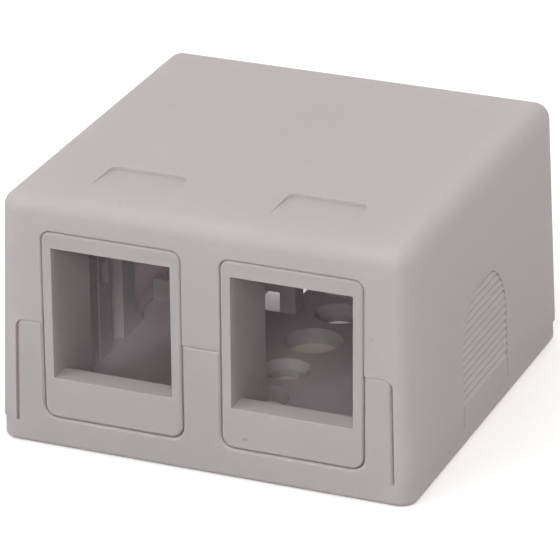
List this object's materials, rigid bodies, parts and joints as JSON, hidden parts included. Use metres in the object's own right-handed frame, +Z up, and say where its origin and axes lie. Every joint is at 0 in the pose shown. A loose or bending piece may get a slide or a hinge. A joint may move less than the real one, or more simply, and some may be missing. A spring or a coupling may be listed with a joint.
{
  "type": "surface mount jack box",
  "caption": "Low desk or wall box with a base, a lift-off cover and two framed openings for snap-in jacks.",
  "frame": {"origin": "centre of the underside", "axes": "+X across the two ports, to the right when the ports are seen; -Y out of the front face; +Z up"},
  "size_m": [0.0514, 0.0501, 0.0309],
  "materials": {
    "case_plastic": "fine satin moulded ABS, pale warm grey",
    "bezel_plastic": "fine satin moulded ABS, a shade darker than the case"
  },
  "bodies": {
    "base_assembly": {"base": "case_plastic", "port_bezel_left": "bezel_plastic", "port_bezel_right": "bezel_plastic"},
    "cover_shell": {"cover": "case_plastic"}
  },
  "joints": [
    {"name": "cover_lift", "type": "slide", "parent": "base_assembly", "child": "cover_shell", "axis": [0, 0, 1], "range_m": [0, 0.035]}
  ]
}
